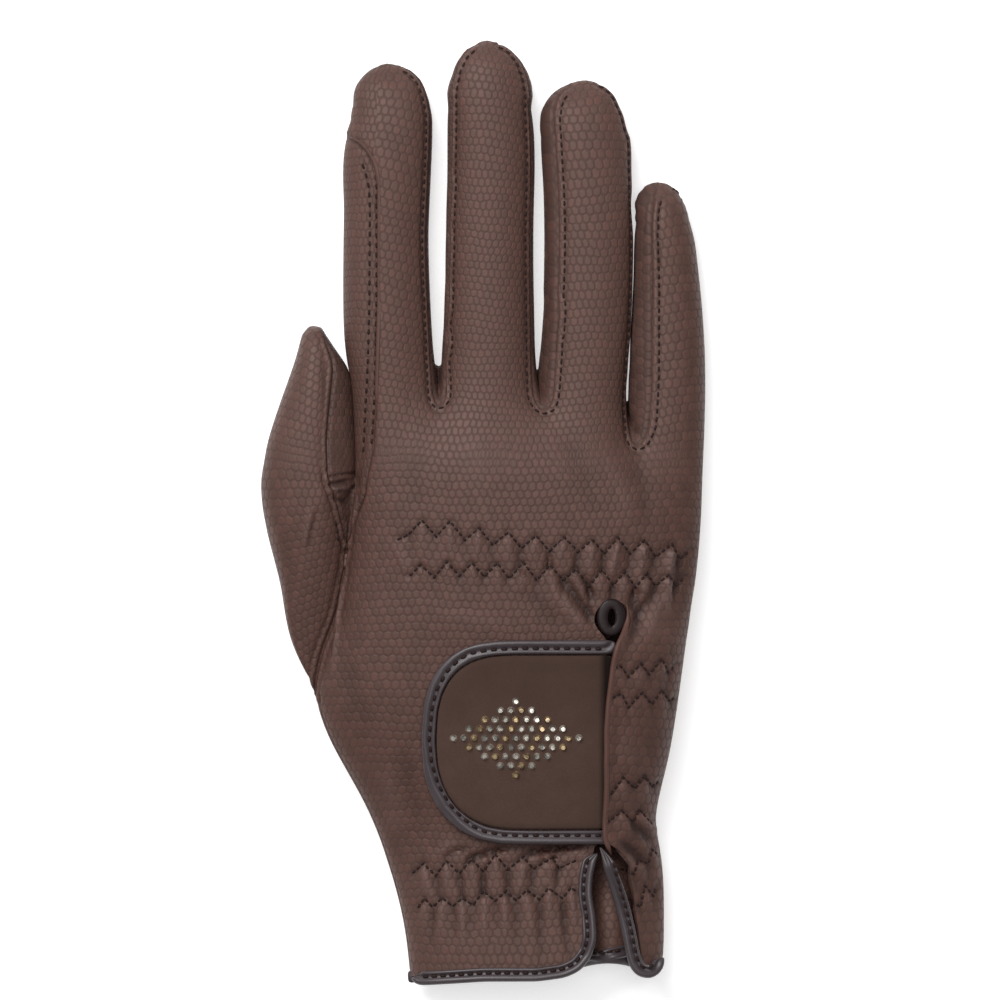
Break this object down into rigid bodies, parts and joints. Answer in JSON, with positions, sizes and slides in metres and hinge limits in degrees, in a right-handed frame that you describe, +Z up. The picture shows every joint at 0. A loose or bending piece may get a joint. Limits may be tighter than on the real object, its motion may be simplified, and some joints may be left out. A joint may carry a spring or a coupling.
{
  "type": "horse riding glove",
  "caption": "Right-hand riding glove of scale-grained leather: four fingers with side strips, set-in thumb, gathered wrist and a rounded closure tab over a bound vent.",
  "frame": {"origin": "middle of the bounding box, on the surface that the palm rests on", "axes": "+Y from the hem to the fingertips, +Z up from the palm to the back of the hand, the thumb at -X"},
  "size_m": [0.1108, 0.2356, 0.0227],
  "materials": {
    "grain_leather": "brown scale-grained synthetic leather, semi-matt",
    "palm_leather": "brown fine-grained leather, semi-matt",
    "trim_leather": "smooth dark brown rolled binding",
    "tab_suede": "brown suede-like leather, matt",
    "thread": "brown sewing thread",
    "stones": "small cut stones, clear and pale gold"
  },
  "bodies": {
    "root": {"back_panel": "grain_leather", "palm_panel": "palm_leather", "fourchette_index_middle": "grain_leather", "fourchette_middle_ring": "grain_leather", "fourchette_ring_little": "grain_leather", "thumb_outer": "grain_leather", "thumb_inner": "palm_leather", "thumb_gusset": "palm_leather", "closure_tab": "tab_suede", "tab_binding": "trim_leather", "cuff_binding": "trim_leather", "vent_eyelet": "trim_leather"}
  },
  "joints": []
}
